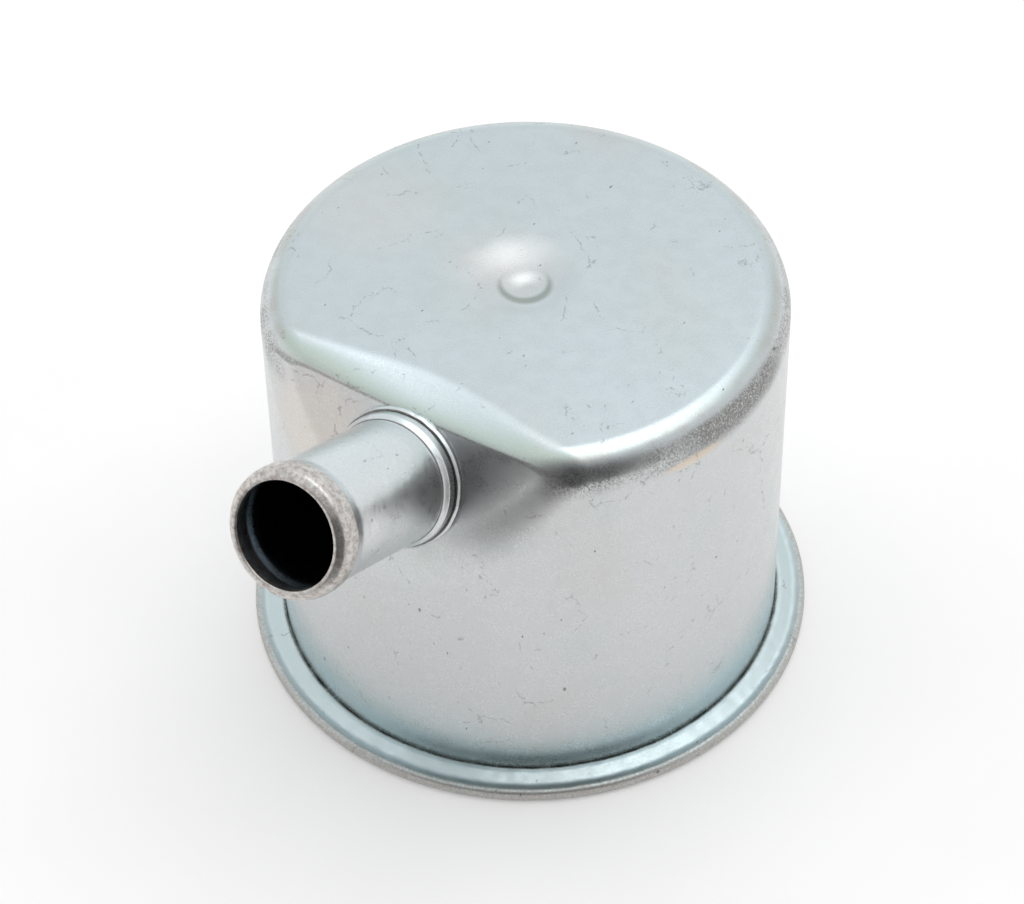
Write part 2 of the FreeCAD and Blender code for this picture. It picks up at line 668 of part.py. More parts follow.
def make_splash_baffle():
    """Shallow cone over the throat on three bent legs, each with a riveted foot."""
    rim = BAFFLE_RIM
    body = turned("splash_baffle", [
        ("0", f"{rim} + baffle_rise - baffle_sheet", SHARP),
        (f"{BAFFLE_RADIUS} - baffle_sheet", f"{rim} - baffle_sheet", SHARP),
        (BAFFLE_RADIUS, f"{rim} - baffle_sheet", SHARP),
        (BAFFLE_RADIUS, rim, "baffle_rim_round"),
        ("0", f"{rim} + baffle_rise", SHARP),
    ])
    leg = new_sketch(body, "leg_outline", "YZ_Plane")
    draw_outline(leg, [
        (f"{BAFFLE_RADIUS} - baffle_sheet", FLOOR_TOP, "leg_inner_bend"),
        (f"{BAFFLE_RADIUS} + baffle_foot_length", FLOOR_TOP, SHARP),
        (f"{BAFFLE_RADIUS} + baffle_foot_length", FOOT_TOP, EDGE_ROUND),
        (BAFFLE_RADIUS, FOOT_TOP, "leg_outer_bend"),
        (BAFFLE_RADIUS, f"{rim} - baffle_sheet / 2", SHARP),
        (f"{BAFFLE_RADIUS} - baffle_sheet", f"{rim} - baffle_sheet / 2", SHARP),
    ])
    leg_pad = body.newObject("PartDesign::Pad", "leg")
    leg_pad.Profile = leg
    leg_pad.Midplane = True
    bind(leg_pad, "Length", "baffle_leg_width")
    repeat_round(body, leg_pad, BAFFLE_LEGS)
    pierced(body, "foot_hole", "0", BAFFLE_RIVET_PLACE, "baffle_rivet_radius", BAFFLE_LEGS)
    return body


def make_baffle_rivets():
    """Rivets through the floor and the baffle's feet."""
    members = []
    grip = "(plate_sheet + baffle_sheet)"
    for number in range(BAFFLE_LEGS):
        turn = 360 * number / BAFFLE_LEGS
        name = f"baffle_rivet_{number + 1}"
        rivet = make_rivet(name, "baffle_rivet_radius", grip, "baffle_rivet_foot", "baffle_rivet_head")
        bind(rivet, "Placement.Base.x", f"-{BAFFLE_RIVET_PLACE} * sin({turn}deg)")
        bind(rivet, "Placement.Base.y", f"{BAFFLE_RIVET_PLACE} * cos({turn}deg)")
        members.append(raise_to(rivet, "floor_height"))
    return grouped("baffle_rivets", members)


def make_spacer_ring():
    """Band that stands on the base plate and carries the screens and the filter pack."""
    height = f"{LOWER_SCREEN} - {FLOOR_TOP}"
    return ring("spacer_ring", f"{SPACER_RADIUS} - spacer_sheet", SPACER_RADIUS, height, FLOOR_TOP)


def make_screen(name, place):
    """Perforated disc: a centre hole and rings of holes, six more in each ring than in the one inside it."""
    body = new_body(name)
    radius = f"({CAN_INSIDE} - screen_gap)"
    padded(body, f"{name}_disc", lambda sketch: draw_circle(sketch, "0", "0", radius), "screen_sheet")
    pierced(body, f"{name}_hole_0", "0", "0", "screen_hole_radius", 1)
    for step in range(1, SCREEN_RINGS + 1):
        reach = f"({radius} - screen_border) * {step} / {SCREEN_RINGS}"
        pierced(body, f"{name}_hole_{step}", "0", reach, "screen_hole_radius", HOLES_PER_RING_STEP * step)
    return raise_to(body, place)


def make_pack(name, place):
    """Disc of knitted wire, as one closed solid."""
    edge = f"{PACK_HEIGHT} / 5"
    body = turned(name, [
        ("0", "0", SHARP),
        (f"{CAN_INSIDE} - pack_gap", "0", edge),
        (f"{CAN_INSIDE} - pack_gap", PACK_HEIGHT, edge),
        ("0", PACK_HEIGHT, SHARP),
    ])
    return raise_to(body, place)


WASHER_EDGE = "stud_radius + lock_washer_width"
CLIP_EDGE = "stud_radius + clip_width"
nodes = [
    make_can(),
    make_hose_spigot(),
    make_spigot_ring(),
    make_base_plate(),
    make_neck_collar(),
    make_neck_gasket(),
    make_lock_bridge(),
    make_bridge_rivets(),
    make_lock_stud(),
    make_locking_plate(),
    make_lock_spring(),
    ring("lock_washer", "stud_radius", WASHER_EDGE, "lock_washer_sheet", WASHER_UNDERSIDE),
    ring("stud_clip", "stud_radius", CLIP_EDGE, "clip_sheet", WASHER_TOP),
    make_splash_baffle(),
    make_baffle_rivets(),
    make_spacer_ring(),
    make_screen("lower_screen", LOWER_SCREEN),
    make_pack("lower_filter_pack", LOWER_PACK),
    make_screen("middle_screen", MIDDLE_SCREEN),
    make_pack("upper_filter_pack", UPPER_PACK),
    make_screen("upper_screen", UPPER_SCREEN),
    make_pack_spring(),
]
doc.recompute()

for item in doc.Objects:
    if {"Invalid", "Error"} & set(item.State):
        raise RuntimeError(f"{item.Label} failed: {item.State}")
for node in nodes:
    if node.Shape.isNull() or not node.Shape.isValid():
        raise RuntimeError(f"{node.Label} has no valid shape")
    print(node.Label, len(node.Shape.Solids), round(node.Shape.Volume, 1))

os.makedirs("parts", exist_ok=True)
for node in nodes:
    node.Shape.exportStep(os.path.join("parts", f"{node.Label}.step"))
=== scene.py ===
"""Looks for the breather air filter housing: zinc-plated can, hemmed base plate, hose spigot, and the inside.

Lengths are in millimetres while a shape is worked out, and in metres once it is a mesh. The axes are the
CAD model's.
"""

import json
import math

import bmesh
import bpy
import numpy as np
from mathutils import Matrix, Vector, noise


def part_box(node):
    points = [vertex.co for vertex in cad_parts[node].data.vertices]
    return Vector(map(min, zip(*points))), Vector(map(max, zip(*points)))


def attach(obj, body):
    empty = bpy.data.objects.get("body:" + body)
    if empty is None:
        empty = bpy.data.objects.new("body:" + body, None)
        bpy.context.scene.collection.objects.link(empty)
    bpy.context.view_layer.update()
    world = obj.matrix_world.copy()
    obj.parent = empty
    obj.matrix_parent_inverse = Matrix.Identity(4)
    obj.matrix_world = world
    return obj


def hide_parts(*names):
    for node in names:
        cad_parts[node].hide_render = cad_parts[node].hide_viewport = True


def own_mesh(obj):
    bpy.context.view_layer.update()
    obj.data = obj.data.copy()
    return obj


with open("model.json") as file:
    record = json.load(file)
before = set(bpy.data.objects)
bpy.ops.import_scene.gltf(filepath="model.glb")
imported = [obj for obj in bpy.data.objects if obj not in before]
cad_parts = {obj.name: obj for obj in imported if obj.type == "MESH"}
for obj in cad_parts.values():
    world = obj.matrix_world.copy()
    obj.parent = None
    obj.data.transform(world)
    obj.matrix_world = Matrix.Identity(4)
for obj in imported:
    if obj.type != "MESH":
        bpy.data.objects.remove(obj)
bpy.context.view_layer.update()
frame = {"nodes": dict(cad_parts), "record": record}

MM = 0.001

# ---------------------------------------------------------------- sizes, from the frame or chosen here

mounts = {mount["name"]: mount for mount in frame["record"]["mounts"]}


def box_mm(node):
    low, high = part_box(node)
    return [c / MM for c in low], [c / MM for c in high]


def vertices_mm(node):
    mesh = frame["nodes"][node].data
    flat = np.empty(len(mesh.vertices) * 3)
    mesh.vertices.foreach_get("co", flat)
    return flat.reshape(-1, 3) / MM


# The can and the facet pressed into it.
SHEET = 0.8
CAN_RADIUS = 38.0
CAN_TOP = box_mm("can")[1][2]
CAN_FLANGE = box_mm("can")[1][0]
CAN_BEND = 4.4
FLANGE_BEND = 1.2
POLE_GAP = 0.05
ROUND_FOOT = 8.0
FACET_BLEND = 2.4
FACET_HALF_WIDTH = 27.0
LEAN_DEPTH = 2.6
LEAN_START, LEAN_END = 9.3, 14.5

# The mark in the middle of the can's top: a shallow bowl, and a small round punch in it.
BOWL_CENTRE, BOWL_RADIUS, BOWL_DEPTH = (-1.2, 1.0), 9.0, 0.72
PUNCH_CENTRE, PUNCH_DEPTH = (1.4, -1.0), 0.34
PUNCH_FLOOR, PUNCH_EDGE = 1.4, 4.5

# The base plate and the collar.
PLATE = 0.6
RIM_RADIUS = box_mm("base_plate")[1][0]
FLOOR_TOP = box_mm("base_plate")[1][2]
HEM_GAP = 0.03
NECK_RADIUS = mounts["neck_guide"]["dims"]["r_mm"]
NECK_GUIDE = mounts["neck_guide"]["dims"]["length_mm"]
COLLAR_RADIUS = 23.4
COLLAR_FLANGE = 3.6
COLLAR_TOP = box_mm("neck_collar")[1][2]

# The spigot and its ring, along the spigot's axis from the facet.
OUTWARD = Vector(mounts["hose_bead"]["axis"]).normalized()
UP_FACET = np.array([0.0, OUTWARD[2], -OUTWARD[1]])
BEAD_POINT = Vector(mounts["hose_bead"]["pos_m"]) / MM
BEAD_RADIUS = mounts["hose_bead"]["dims"]["r_mm"]
SPIGOT_RADIUS = 9.0
TUBE_WALL = 0.8
MOUTH_RADIUS = 7.65
RING_RADIUS = 10.3
RING_SHEET = 1.1
RING_LEVELS = vertices_mm("spigot_ring") @ np.array(OUTWARD)
FACET_LEVEL = float(RING_LEVELS.min())
TUBE_LEVELS = vertices_mm("hose_spigot") @ np.array(OUTWARD)
MOUTH = float(TUBE_LEVELS.max()) - FACET_LEVEL
FLARE = FACET_LEVEL - float(TUBE_LEVELS.min())
SWAGE_LENGTH = 1.3
LIP_LENGTH = 1.6
BEAD_LENGTH = 3.4

# The gasket's ribs.
RIBS = 3
RIB_SPACING = 1.3
RIB_HALF_WIDTH = 0.45
RIB_HEIGHT = 0.12

# ---------------------------------------------------------------- mesh tools


def rounded_path(corners, step):
    """A path through corners (across, up, bend radius): arcs at the bends, points about a step apart."""
    points = [Vector((across, up)) for across, up, _ in corners]
    path = []
    for index, (_, _, radius) in enumerate(corners):
        here = points[index]
        if radius == 0 or index in (0, len(corners) - 1):
            path.append([here])
            continue
        back = (points[index - 1] - here).normalized()
        ahead = (points[index + 1] - here).normalized()
        half = back.angle(ahead) / 2
        centre = here + (back + ahead).normalized() * radius / math.sin(half)
        start = here + back * radius / math.tan(half) - centre
        sweep = start.angle_signed(here + ahead * radius / math.tan(half) - centre)
        count = max(4, int(abs(sweep) * radius / step * 2))
        arc = []
        for number in range(count + 1):
            turn = -sweep * number / count
            x = start.x * math.cos(turn) - start.y * math.sin(turn)
            y = start.x * math.sin(turn) + start.y * math.cos(turn)
            arc.append(centre + Vector((x, y)))
        path.append(arc)
    dense = list(path[0])
    for piece in path[1:]:
        run = piece[0] - dense[-1]
        count = max(1, math.ceil(run.length / step))
        start = dense[-1]
        dense += [start + run * number / count for number in range(1, count)]
        dense += piece
    return np.array([[point.x, point.y] for point in dense])


def smooth_step(value, low, high):
    """0 below low, 1 above high, and an S-curve between."""
    share = np.clip((value - low) / (high - low), 0, 1)
    return share * share * (3 - 2 * share)


def spun_points(path, segments):
    """The points of a path turned about Z, as an array of rings: path point, segment, coordinate."""
    angle = np.linspace(0, 2 * math.pi, segments, endpoint=False)
    across = path[:, 0][:, None]
    up = np.repeat(path[:, 1][:, None], segments, 1)
    return np.stack([across * np.sin(angle), -across * np.cos(angle), up], 2)


def ring_mesh(name, rings, closed, ends_on_axis=False):
    """A mesh from rings of points.

    closed joins the last ring to the first, and ends_on_axis closes both ends with a fan.
    """
    count, segments = rings.shape[:2]
    vertices = rings.reshape(-1, 3)
    faces = []
    last = count if closed else count - 1
    for row in range(last):
        low = row * segments
        high = ((row + 1) % count) * segments
        for column in range(segments):
            after = (column + 1) % segments
            faces.append((low + column, low + after, high + after, high + column))
    if ends_on_axis:
        first = len(vertices)
        poles = [rings[0].mean(0), rings[-1].mean(0)]
        vertices = np.vstack([vertices, poles])
        base = (count - 1) * segments
        for column in range(segments):
            after = (column + 1) % segments
            faces.append((first, after, column))
            faces.append((first + 1, base + column, base + after))
    mesh = bpy.data.meshes.new(name)
    mesh.from_pydata((vertices * MM).tolist(), [], faces)
    tidy = bmesh.new()
    tidy.from_mesh(mesh)
    bmesh.ops.recalc_face_normals(tidy, faces=tidy.faces)
    tidy.to_mesh(mesh)
    tidy.free()
    mesh.shade_smooth()
    piece = bpy.data.objects.new(name, mesh)
    bpy.context.scene.collection.objects.link(piece)
    return piece


def stand_on_spigot(rings):
    """Moves rings turned about Z onto the spigot's axis, their zero at the facet."""
    turn = Vector((0, 0, 1)).rotation_difference(OUTWARD).to_matrix()
    base = BEAD_POINT - OUTWARD * (BEAD_POINT.dot(OUTWARD) - FACET_LEVEL)
    return rings @ np.array(turn).T + np.array(base)


def ripple(rings, reach, size, seed, along=None):
    """Moves each point by smooth noise: outwards from its ring's centre, or along a vector."""
    moved = rings.copy()
    offset = Vector((seed * 7.3, seed * 3.1, seed * 5.7))
    for row in range(rings.shape[0]):
        centre = rings[row].mean(0)
        for column in range(rings.shape[1]):
            point = rings[row, column]
            value = noise.noise(Vector(point) / size + offset) * reach
            if along is None:
                way = point - centre
                length = np.linalg.norm(way)
                moved[row, column] = point + way / max(length, 1e-6) * value
            else:
                moved[row, column] = point + np.array(along) * value
    return moved


# ---------------------------------------------------------------- can


def facet_lean(points):
    """How far the facet leans back past its plane: most at the top of its middle, and none at its sides."""
    sideways = np.clip(points[:, 0] / FACET_HALF_WIDTH, -1, 1)
    above_axis = (points - np.array(BEAD_POINT)) @ UP_FACET
    share = 0.5 + 0.5 * np.cos(math.pi * sideways)
    return LEAN_DEPTH * share * smooth_step(above_axis, LEAN_START, LEAN_END)


def can_field(points, inset, blend):
    """Distance to the can's skin, below 0 inside: a rounded cylinder cut by the facet, with a soft edge."""
    across = np.hypot(points[:, 0], points[:, 1]) - (CAN_RADIUS - CAN_BEND)
    up = points[:, 2] - (CAN_TOP - CAN_BEND)
    corner = np.hypot(np.maximum(across, 0), np.maximum(up, 0))
    body = corner + np.minimum(np.maximum(across, up), 0) - CAN_BEND + inset
    flat = points @ np.array(OUTWARD) - FACET_LEVEL + inset + facet_lean(points)
    return np.hypot(np.maximum(body + blend, 0), np.maximum(flat + blend, 0)) - blend


def pressed_flat(rings, inset, blend):
    """Pulls the points of a turned skin inwards until they lie on the flattened skin."""
    points = rings.reshape(-1, 3)
    heart = np.array([0.0, 0.0, CAN_TOP * 0.45])
    outside = can_field(points, inset, blend) > 1e-5
    away = points[outside]
    near, far = np.zeros(len(away)), np.ones(len(away))
    for _ in range(40):
        middle = (near + far) / 2
        trial = away + (heart - away) * middle[:, None]
        still_out = can_field(trial, inset, blend) > 0
        near = np.where(still_out, middle, near)
        far = np.where(still_out, far, middle)
    points = points.copy()
    points[outside] = away + (heart - away) * far[:, None]
    return points.reshape(rings.shape)


def dimple_drop(x, y):
    """Depth of the mark in the middle of the top."""
    bowl = np.clip(np.hypot(x - BOWL_CENTRE[0], y - BOWL_CENTRE[1]) / BOWL_RADIUS, 0, 1)
    punch = np.hypot(x - PUNCH_CENTRE[0], y - PUNCH_CENTRE[1])
    return BOWL_DEPTH * (1 - bowl ** 2) ** 2 + PUNCH_DEPTH * (1 - smooth_step(punch, PUNCH_FLOOR, PUNCH_EDGE))


def build_can():
    """Outer and inner skin of the can, each turned, pressed flat at the facet and marked in the middle."""
    segments = 640
    step = 0.4
    flange_top = PLATE + SHEET
    inner_radius, inner_top = CAN_RADIUS - SHEET, CAN_TOP - SHEET
    outer = rounded_path([
        (POLE_GAP, CAN_TOP, 0), (CAN_RADIUS, CAN_TOP, CAN_BEND), (CAN_RADIUS, flange_top, FLANGE_BEND),
        (CAN_FLANGE, flange_top, 0),
    ], step)
    inner = rounded_path([
        (CAN_FLANGE, PLATE, 0), (inner_radius, PLATE, FLANGE_BEND + SHEET),
        (inner_radius, inner_top, CAN_BEND - SHEET), (POLE_GAP, inner_top, 0),
    ], step)
    skins = []
    for path, inset in ((outer, 0.0), (inner, SHEET)):
        rings = spun_points(path, segments)
        upper = path[:, 1] > ROUND_FOOT
        rings[upper] = pressed_flat(rings[upper], inset, FACET_BLEND - inset)
        drop = dimple_drop(rings[:, :, 0], rings[:, :, 1])
        rings[:, :, 2] -= np.where(upper[:, None], drop, 0)
        skins.append(rings)
    can = ring_mesh("can_shell", np.concatenate(skins), closed=False, ends_on_axis=True)
    drill_spigot_hole(can)
    return can


def drill_spigot_hole(can):
    """Cuts the round hole for the spigot square through the facet."""
    reach = 4.0
    path = np.array([[SPIGOT_RADIUS, -reach], [SPIGOT_RADIUS, reach]])
    drill = ring_mesh("drill", stand_on_spigot(spun_points(path, 128)), closed=False, ends_on_axis=True)
    cut = can.modifiers.new("spigot_hole", "BOOLEAN")
    cut.object = drill
    cut.solver = "MANIFOLD"
    bpy.context.view_layer.update()
    done = bpy.data.meshes.new_from_object(can.evaluated_get(bpy.context.evaluated_depsgraph_get()))
    can.modifiers.clear()
    can.data = done
    bpy.data.objects.remove(drill)


# ---------------------------------------------------------------- spigot and its ring


def build_spigot():
    """The tube, from its flare inside the can, over the swage that grips the ring, to the rolled bead."""
    inner = SPIGOT_RADIUS - TUBE_WALL
    throat = inner + 0.45
    flare = SPIGOT_RADIUS + 1.0
    root = -FLARE
    shoulder = RING_SHEET + SWAGE_LENGTH
    bead_back = MOUTH - LIP_LENGTH - BEAD_LENGTH
    path = rounded_path([
        (inner, root, 0), (flare, root, 0.3), (flare, root + 0.9, 0.05), (SPIGOT_RADIUS, -SHEET, 0.05),
        (SPIGOT_RADIUS, RING_SHEET, 0.02), (SPIGOT_RADIUS + 0.75, RING_SHEET, 0.2),
        (SPIGOT_RADIUS + 0.66, shoulder, 0.35), (SPIGOT_RADIUS, shoulder + 0.9, 1.6),
        (SPIGOT_RADIUS, bead_back - 0.4, 4.0), (BEAD_RADIUS, bead_back + 1.5, 1.6),
        (BEAD_RADIUS, MOUTH - 1.9, 1.4), (BEAD_RADIUS - 0.3, MOUTH - 0.7, 0.9),
        (MOUTH_RADIUS + 0.6, MOUTH, 0.4), (MOUTH_RADIUS, MOUTH, 0.25), (MOUTH_RADIUS, MOUTH - 1.2, 0.4),
        (throat, MOUTH - 2.6, 0.5), (throat, MOUTH - 3.9, 0.8), (inner, bead_back, 1.2), (inner, root, 0),
    ], 0.25)[:-1]
    segments = 256
    rings = ripple(spun_points(path, segments), 0.035, 4.0, 1)
    rings = ripple(rings, 0.012, 0.9, 2)
    return ring_mesh("spigot_tube", stand_on_spigot(rings), closed=True)


def build_spigot_ring():
    """The flat ring between the facet and the swage, a little wavy."""
    edge = RING_RADIUS - 0.02
    path = rounded_path([
        (SPIGOT_RADIUS, 0, 0), (edge, 0, 0.15), (edge, RING_SHEET * 0.55, 0.3),
        (RING_RADIUS - 0.35, RING_SHEET, 0.3), (SPIGOT_RADIUS, RING_SHEET, 0), (SPIGOT_RADIUS, 0, 0),
    ], 0.12)[:-1]
    segments = 256
    rings = ripple(spun_points(path, segments), 0.07, 1.5, 3)
    return ring_mesh("spigot_washer", stand_on_spigot(rings), closed=True)


# ---------------------------------------------------------------- base plate and collar


def build_base_plate():
    """The pan: its floor, its rim folded up round the can's flange, and a ragged hem back to the can."""
    inside = CAN_RADIUS - SHEET
    flange_top = PLATE + SHEET
    top = flange_top + PLATE
    lip = CAN_RADIUS + HEM_GAP
    under = FLOOR_TOP - PLATE
    fold = RIM_RADIUS - PLATE
    path = rounded_path([
        (COLLAR_RADIUS, under, 0), (inside - PLATE, under, 0.6), (inside - PLATE, 0, 1.0),
        (RIM_RADIUS, 0, 1.0), (RIM_RADIUS, top + 0.55, 0.75), (CAN_RADIUS + 2.9, top + 0.05, 1.5),
        (CAN_RADIUS + 1.1, top + 0.75, 1.6), (CAN_RADIUS + 0.4, top + 0.85, 0.3), (lip, top + 0.6, 0.15),
        (lip, flange_top + 0.9, 0.1), (CAN_RADIUS + 1.6, flange_top, 0.8), (fold, flange_top, 0.3),
        (fold, PLATE, 0.3), (inside, PLATE, 1.4), (inside, FLOOR_TOP, 1.1), (COLLAR_RADIUS, FLOOR_TOP, 0),
        (COLLAR_RADIUS, under, 0),
    ], 0.3)[:-1]
    segments = 768
    rings = spun_points(path, segments)
    hem = (path[:, 1] > flange_top + 0.05) & (path[:, 0] > CAN_RADIUS)
    rings[hem] = ripple(rings[hem], 0.10, 9.0, 4, along=(0, 0, 1))
    rings[hem] = ripple(rings[hem], 0.05, 1.6, 5, along=(0, 0, 1))
    hem_edge = hem & (path[:, 0] < CAN_RADIUS + 0.6)
    rings[hem_edge] = ripple(rings[hem_edge], 0.13, 2.2, 6)
    return ring_mesh("base_pan", rings, closed=True)


def build_neck_collar():
    """The cup that takes the filler neck: a flange on the floor, a wall, and a lid with a throat."""
    relief = NECK_RADIUS + 0.5
    throat = NECK_RADIUS - 4.6
    lid = COLLAR_TOP - SHEET
    flange = COLLAR_RADIUS + COLLAR_FLANGE
    flange_top = FLOOR_TOP + SHEET
    path = rounded_path([
        (NECK_RADIUS, 0, 0), (COLLAR_RADIUS, 0, 0.5), (COLLAR_RADIUS, FLOOR_TOP, 0.02),
        (flange, FLOOR_TOP, 0.1), (flange, flange_top, 0.3), (COLLAR_RADIUS, flange_top, 0.6),
        (COLLAR_RADIUS, COLLAR_TOP, 0.8), (throat, COLLAR_TOP, 0.2), (throat, lid, 0.2), (relief, lid, 0.05),
        (relief, NECK_GUIDE, 0.05), (NECK_RADIUS, NECK_GUIDE - 0.2, 0.1), (NECK_RADIUS, 0, 0),
    ], 0.4)[:-1]
    return ring_mesh("collar_cup", spun_points(path, 256), closed=True)


def build_gasket():
    """The rubber ring, with concentric ribs under it."""
    low, high = box_mm("neck_gasket")
    outer = high[0]
    inner = NECK_RADIUS - 4.2
    foot = low[2] + 0.1
    corners = [(inner, foot, 0)]
    for number in range(RIBS):
        place = (inner + outer) / 2 + (number - (RIBS - 1) / 2) * RIB_SPACING
        for offset, level, bend in ((-1, RIB_HEIGHT, 0.1), (0, 0, 0.2), (1, RIB_HEIGHT, 0.1)):
            corners.append((place + offset * RIB_HALF_WIDTH, low[2] + level, bend))
    corners += [(outer, foot, 0.3), (outer, high[2], 0.1), (inner, high[2], 0.1), (inner, foot, 0)]
    path = rounded_path(corners, 0.2)[:-1]
    return ring_mesh("gasket_ring", spun_points(path, 256), closed=True)


# ---------------------------------------------------------------- springs


def build_coil(name, node, wire, bottom, top, turns):
    """A compression spring as high as its node, with a closed turn at each end, ground flat.

    bottom and top are the radii of the wire's middle there.
    """
    low, high = (corner[2] for corner in box_mm(node))
    sides = 20
    steps = int(turns * 72)
    ground = wire * 0.3
    climb = high - low - 2 * ground
    closed = wire * 1.02 / climb
    rings = np.empty((steps + 1, sides, 3))
    for index in range(steps + 1):
        turn = turns * index / steps
        rise = np.interp(turn, [0, 1, turns - 1, turns], [0, closed, 1 - closed, 1])
        height = low + ground + climb * rise
        radius = bottom + (top - bottom) * rise
        angle = 2 * math.pi * turn
        for side in range(sides):
            around = 2 * math.pi * side / sides
            reach = radius + math.cos(around) * wire / 2
            level = min(max(height + math.sin(around) * wire / 2, low), high)
            rings[index, side] = (reach * math.sin(angle), -reach * math.cos(angle), level)
    return ring_mesh(name, rings, closed=False, ends_on_axis=True)


# ---------------------------------------------------------------- filter packs


def build_filter_pack(name, node, seed):
    """A pad of knitted wire pressed into a disc: uneven faces and a bulging, lumpy edge."""
    low, high = box_mm(node)
    edge = high[0] - 0.35
    bottom, top = low[2] + 0.3, high[2] - 0.3
    path = rounded_path([
        (POLE_GAP, bottom, 0), (edge, bottom, 1.6), (edge, top, 1.6), (POLE_GAP, top, 0),
    ], 0.7)
    rings = spun_points(path, 240)
    rings = ripple(rings, 0.25, 3.0, seed, along=(0, 0, 1))
    rings = ripple(rings, 0.18, 1.2, seed + 1)
    return ring_mesh(name, rings, closed=False, ends_on_axis=True)


# ---------------------------------------------------------------- materials


class Nodes:
    """One material's node tree: object coordinates in millimetres, and short ways to add nodes."""

    def __init__(self, name):
        self.material = bpy.data.materials.new(name)
        self.material.use_nodes = True
        self.tree = self.material.node_tree
        self.shader = self.tree.nodes["Principled BSDF"]
        coordinates = self.tree.nodes.new("ShaderNodeTexCoord")
        scale = self.add("ShaderNodeVectorMath", operation="SCALE")
        scale.inputs["Scale"].default_value = 1 / MM
        self.link(coordinates.outputs["Object"], scale.inputs[0])
        self.place = scale.outputs[0]

    def add(self, kind, **settings):
        node = self.tree.nodes.new(kind)
        for key, value in settings.items():
            setattr(node, key, value)
        return node

    def link(self, source, target):
        self.tree.links.new(source, target)

    def feed(self, socket, value):
        if isinstance(value, bpy.types.NodeSocket):
            self.link(value, socket)
        else:
            socket.default_value = value

    def stretched(self, scale, turn=(0, 0, 0)):
        mapping = self.add("ShaderNodeMapping")
        mapping.inputs["Scale"].default_value = scale
        mapping.inputs["Rotation"].default_value = turn
        self.link(self.place, mapping.inputs["Vector"])
        return mapping.outputs[0]

    def noise(self, scale, detail=3.0, roughness=0.55, place=None):
        node = self.add("ShaderNodeTexNoise")
        node.inputs["Scale"].default_value = scale
        node.inputs["Detail"].default_value = detail
        node.inputs["Roughness"].default_value = roughness
        self.link(place or self.place, node.inputs["Vector"])
        return node.outputs["Fac"]

    def cell_edges(self, scale, place):
        """Distance to the nearest border between two cells."""
        node = self.add("ShaderNodeTexVoronoi", feature="DISTANCE_TO_EDGE")
        node.inputs["Scale"].default_value = scale
        self.link(place, node.inputs["Vector"])
        return node.outputs["Distance"]

    def span(self, value, low, high, to_low=0.0, to_high=1.0):
        """Maps a value from one range to another, and stops at its ends."""
        node = self.add("ShaderNodeMapRange", interpolation_type="SMOOTHSTEP")
        self.feed(node.inputs["Value"], value)
        node.inputs["From Min"].default_value = low
        node.inputs["From Max"].default_value = high
        node.inputs["To Min"].default_value = to_low
        node.inputs["To Max"].default_value = to_high
        return node.outputs["Result"]

    def calc(self, operation, first, second):
        node = self.add("ShaderNodeMath", operation=operation)
        self.feed(node.inputs[0], first)
        self.feed(node.inputs[1], second)
        return node.outputs[0]

    def product(self, *factors):
        result = factors[0]
        for factor in factors[1:]:
            result = self.calc("MULTIPLY", result, factor)
        return result

    def most(self, first, second):
        return self.calc("MAXIMUM", first, second)

    def vector(self, operation, first, second, output=0):
        node = self.add("ShaderNodeVectorMath", operation=operation)
        self.link(first, node.inputs[0])
        if second is not None:
            node.inputs[1].default_value = second
        return node.outputs[output]

    def mix(self, share, first, second):
        node = self.add("ShaderNodeMix", data_type="RGBA")
        self.feed(node.inputs["Factor"], share)
        self.feed(node.inputs[6], first)
        self.feed(node.inputs[7], second)
        return node.outputs[2]

    def tint(self, tone, colour, *factors):
        """Mixes a colour over a tone, as far as the product of the factors says."""
        return self.mix(self.product(*factors), tone, rgba(*colour))

    def bump(self, height, strength, distance, before=None):
        node = self.add("ShaderNodeBump")
        node.inputs["Strength"].default_value = strength
        node.inputs["Distance"].default_value = distance * MM
        self.feed(node.inputs["Height"], height)
        if before is not None:
            self.link(before, node.inputs["Normal"])
        return node.outputs["Normal"]

    def height(self):
        node = self.add("ShaderNodeSeparateXYZ")
        self.link(self.place, node.inputs[0])
        return node.outputs["Z"]

    def rise(self):
        """How far the surface faces up, from -1 to 1."""
        geometry = self.add("ShaderNodeNewGeometry")
        node = self.add("ShaderNodeSeparateXYZ")
        self.link(geometry.outputs["Normal"], node.inputs[0])
        return node.outputs["Z"]

    def radius(self):
        """Distance from the can's axis."""
        return self.vector("LENGTH", self.vector("MULTIPLY", self.place, (1, 1, 0)), None, "Value")

    def along_spigot(self):
        """Distance along the spigot's axis from the facet."""
        return self.calc("SUBTRACT", self.vector("DOT_PRODUCT", self.place, OUTWARD, "Value"), FACET_LEVEL)

    def near(self, point, full, none, place=None):
        """1 within one distance of a point, fading to 0 at another."""
        return self.span(self.vector("DISTANCE", place or self.place, point, "Value"), full, none, 1.0, 0.0)


def rgba(red, green, blue):
    return (red, green, blue, 1.0)


